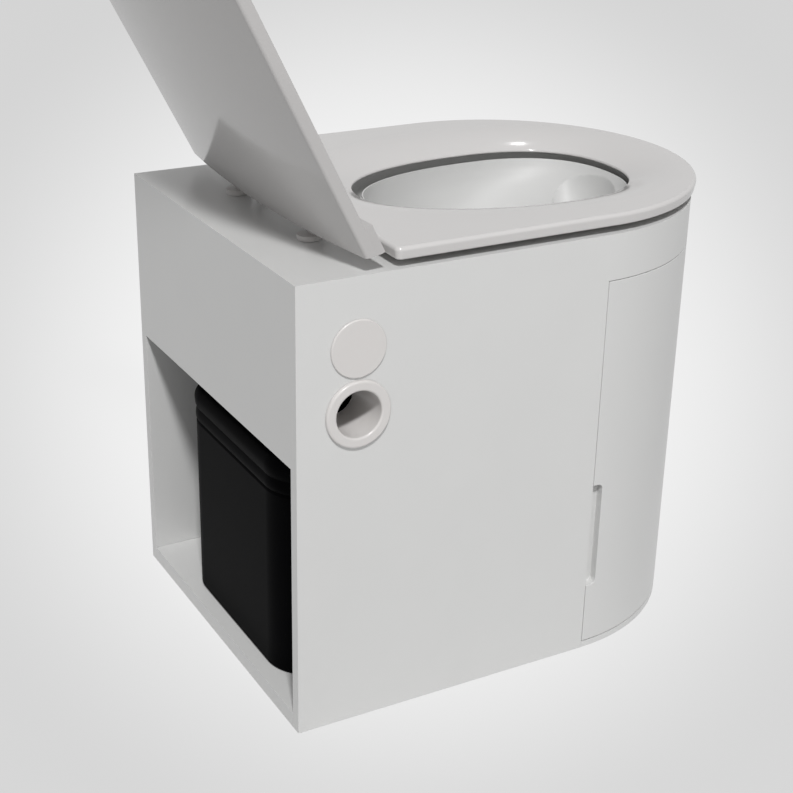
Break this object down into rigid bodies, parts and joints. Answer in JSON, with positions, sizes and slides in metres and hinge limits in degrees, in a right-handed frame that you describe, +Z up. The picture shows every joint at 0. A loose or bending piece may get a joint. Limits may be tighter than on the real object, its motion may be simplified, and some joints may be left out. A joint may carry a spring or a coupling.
{
  "type": "composting toilet",
  "caption": "Free-standing urine-diverting composting toilet: half-round front door, D-shaped seat and lid, side vent, and a solids bin in a rear niche.",
  "frame": {"origin": "middle of the cabinet's base, on the surface it stands on", "axes": "+Z up, +Y to the rear with the bin niche, -Y to the door, -X to the vent side"},
  "size_m": [0.3846, 0.6561, 0.8638],
  "materials": {
    "white_shell": "satin moulded white",
    "gloss_white": "polished white",
    "grey_plastic": "satin moulded grey",
    "black_bin": "matt moulded black",
    "natural_plastic": "natural blow-moulded",
    "rubber": "soft grey",
    "steel": "bare stainless"
  },
  "bodies": {
    "cabinet": {"cabinet_shell": "white_shell", "floor_plate": "white_shell", "partition": "white_shell", "bowl_insert": "gloss_white", "vent_flange": "gloss_white", "vent_lock_nut": "gloss_white", "badge_disc": "gloss_white", "hinge_post_left": "gloss_white", "hinge_post_right": "gloss_white", "wing_nut_left": "gloss_white", "wing_nut_right": "gloss_white", "drop_skirt": "grey_plastic", "drain_spout": "grey_plastic", "liquids_canister": "natural_plastic", "hinge_pin_left": "steel", "hinge_pin_right": "steel", "hinge_bolt_left": "steel", "hinge_bolt_right": "steel", "door_pin_top": "steel", "door_pin_bottom": "steel", "frame_magnet_lower": "steel", "frame_magnet_upper": "steel"},
    "door": {"front_door": "white_shell", "door_magnet_lower": "steel", "door_magnet_upper": "steel"},
    "seat": {"seat": "gloss_white", "seat_buffer_front_left": "rubber", "seat_buffer_front_right": "rubber", "seat_buffer_rear_left": "rubber", "seat_buffer_rear_right": "rubber"},
    "lid": {"lid": "gloss_white", "lid_buffer_front_left": "rubber", "lid_buffer_front_right": "rubber", "lid_buffer_rear_left": "rubber", "lid_buffer_rear_right": "rubber"},
    "bin": {"solids_bin": "black_bin"},
    "cap": {"canister_cap": "grey_plastic"}
  },
  "joints": [
    {"name": "lid_hinge", "type": "hinge", "parent": "cabinet", "child": "lid", "pos_m": [0, 0.18345, 0.468], "axis": [-1, 0, 0], "range_deg": [-117.2, 0]},
    {"name": "seat_hinge", "type": "hinge", "parent": "cabinet", "child": "seat", "pos_m": [0, 0.18345, 0.468], "axis": [-1, 0, 0], "range_deg": [0, 100]},
    {"name": "door_hinge", "type": "hinge", "parent": "cabinet", "child": "door", "pos_m": [0.18387, -0.07305, 0.2], "axis": [0, 0, 1], "range_deg": [0, 90]},
    {"name": "bin_slide", "type": "slide", "parent": "cabinet", "child": "bin", "axis": [0, 1, 0], "range_m": [0, 0.3]},
    {"name": "cap_turn", "type": "hinge", "parent": "cabinet", "child": "cap", "pos_m": [0, -0.15816, 0.3], "axis": [0, 0, 1], "range_deg": [0, 90]}
  ]
}
